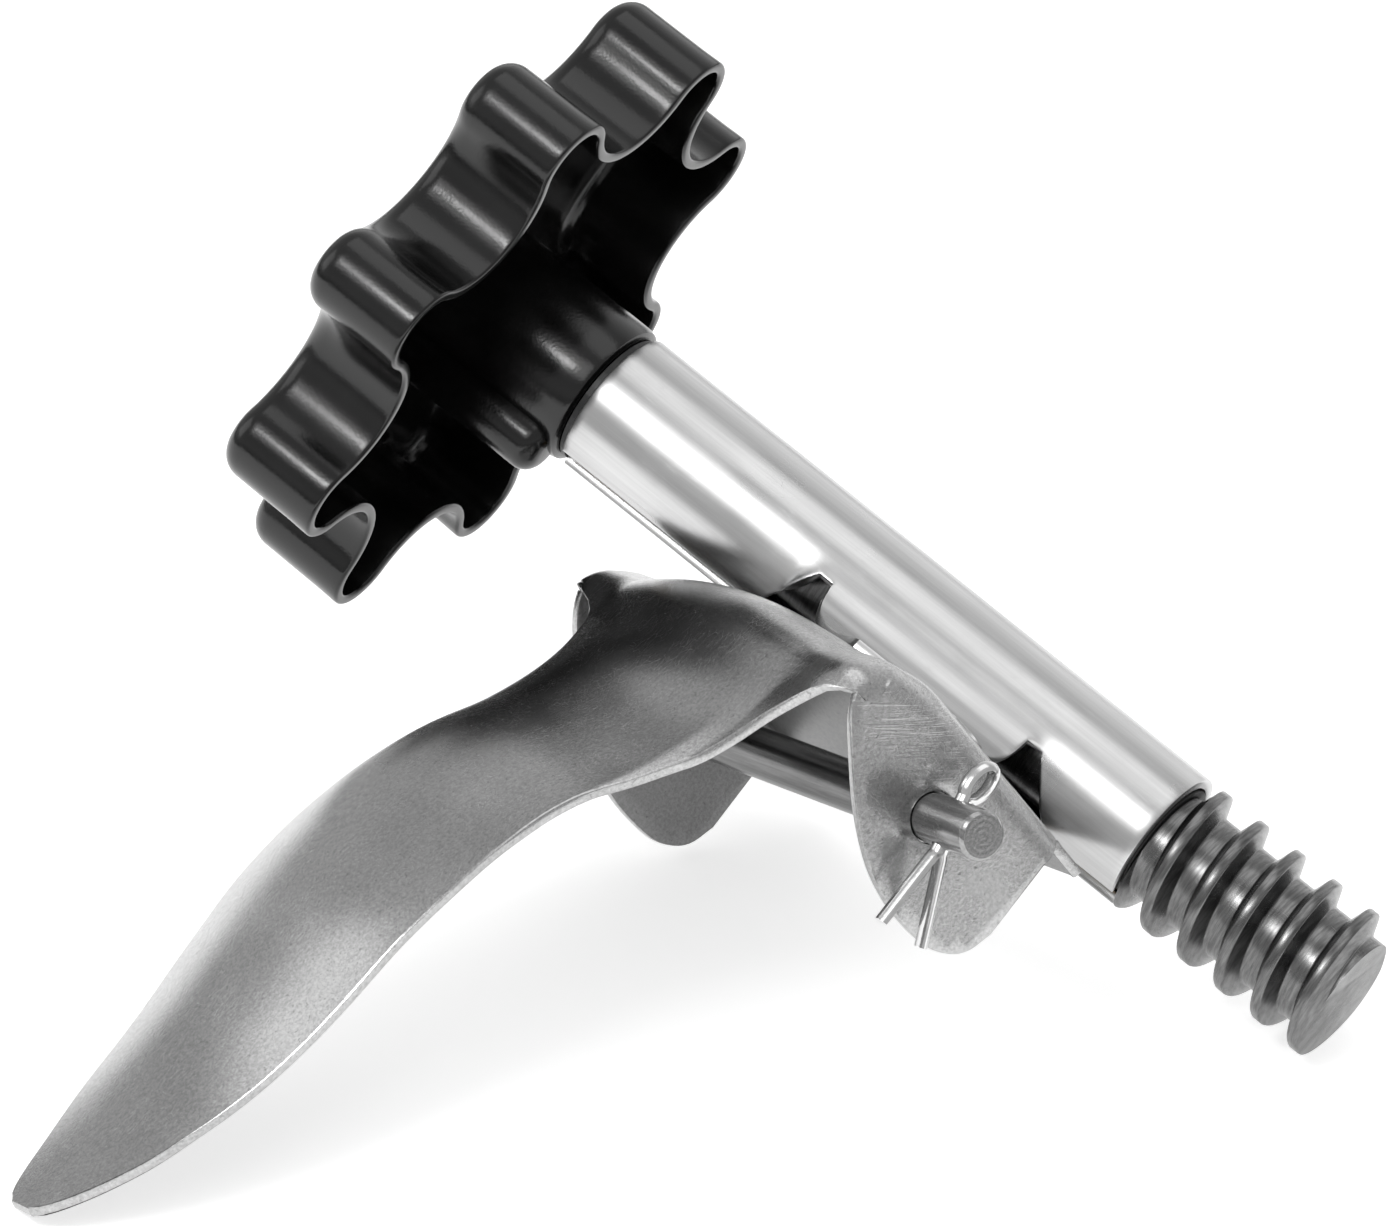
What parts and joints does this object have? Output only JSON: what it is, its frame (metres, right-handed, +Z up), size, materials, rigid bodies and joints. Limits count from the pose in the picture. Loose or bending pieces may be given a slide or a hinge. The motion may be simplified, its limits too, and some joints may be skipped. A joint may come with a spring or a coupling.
{
  "type": "hand-knob worm spindle on a pivoting lever bracket",
  "caption": "Worm spindle turned by a lobed black knob, in a rolled tube on a pressed lever bracket that swings on a clevis pin.",
  "frame": {"origin": "middle of the footprint, on the table the unit lies on", "axes": "+Z up as the unit rests on the arm's tip, the far ear and the end of the worm; +X along the spindle tube in plan, from the knob to the worm"},
  "size_m": [0.1992, 0.2152, 0.1278],
  "materials": {
    "stainless": "tumbled and polished pressed stainless sheet",
    "tube_steel": "polished rolled stainless sheet with fine scratches",
    "turned_steel": "turned steel, dark on the worm's flanks",
    "plain_steel": "drawn bar, plain",
    "wire_steel": "bright drawn half-round wire",
    "black_plastic": "semi-gloss black moulded phenolic",
    "bronze": "plain sintered bronze",
    "acetal": "plain black acetal"
  },
  "bodies": {
    "lever": {"lever_bracket": "stainless", "spindle_tube": "tube_steel", "bush_front": "bronze", "bush_rear": "bronze"},
    "spindle": {"worm_spindle": "turned_steel", "knob": "black_plastic", "knob_insert": "plain_steel", "knob_spring_pin": "plain_steel", "washer_front": "acetal", "washer_rear": "acetal"},
    "clevis": {"clevis_pin": "plain_steel", "cotter_pin": "wire_steel"}
  },
  "joints": [
    {"name": "spindle_spin", "type": "hinge", "parent": "lever", "child": "spindle", "pos_m": [0.01873, 0.05571, 0.04139], "axis": [0.9315, 0, -0.3638], "continuous": true},
    {"name": "clevis_turn", "type": "hinge", "parent": "lever", "child": "clevis", "pos_m": [0.00838, 0.02712, 0.03451], "axis": [-0.8739, 0.3872, -0.2938], "continuous": true}
  ]
}
